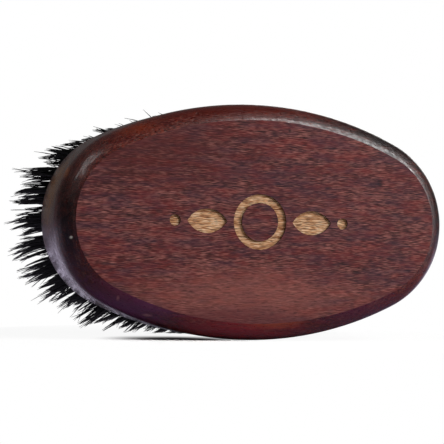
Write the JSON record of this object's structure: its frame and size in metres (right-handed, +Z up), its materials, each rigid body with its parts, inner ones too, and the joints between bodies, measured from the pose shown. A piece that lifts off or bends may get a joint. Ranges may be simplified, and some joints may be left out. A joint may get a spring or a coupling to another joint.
{
  "type": "beard brush",
  "caption": "Palm beard brush: oval dark-stained beech block with an engraved ornament and tufts of black bristle in a ring and in rows inside it.",
  "frame": {"origin": "on the ground below the middle of the brush's overall box, with the brush standing on its long edge", "axes": "+X along the brush, +Z up through its width, +Y from the flat wooden back to the bristle tips"},
  "size_m": [0.1019, 0.039, 0.055],
  "materials": {
    "beech": "satin",
    "bristle": "natural",
    "wire": "satin"
  },
  "bodies": {
    "root": {"wooden_block": "beech", "bristle_ring": "bristle", "bristle_row_01": "bristle", "bristle_row_02": "bristle", "bristle_row_03": "bristle", "bristle_row_04": "bristle", "bristle_row_05": "bristle", "bristle_row_06": "bristle", "bristle_row_07": "bristle", "bristle_row_08": "bristle", "bristle_row_09": "bristle", "bristle_row_10": "bristle", "bristle_row_11": "bristle", "bristle_row_12": "bristle", "bristle_row_13": "bristle", "bristle_row_14": "bristle", "bristle_row_15": "bristle", "anchor_ring": "wire", "anchor_row_01": "wire", "anchor_row_02": "wire", "anchor_row_03": "wire", "anchor_row_04": "wire", "anchor_row_05": "wire", "anchor_row_06": "wire", "anchor_row_07": "wire", "anchor_row_08": "wire", "anchor_row_09": "wire", "anchor_row_10": "wire", "anchor_row_11": "wire", "anchor_row_12": "wire", "anchor_row_13": "wire", "anchor_row_14": "wire", "anchor_row_15": "wire"}
  },
  "joints": []
}
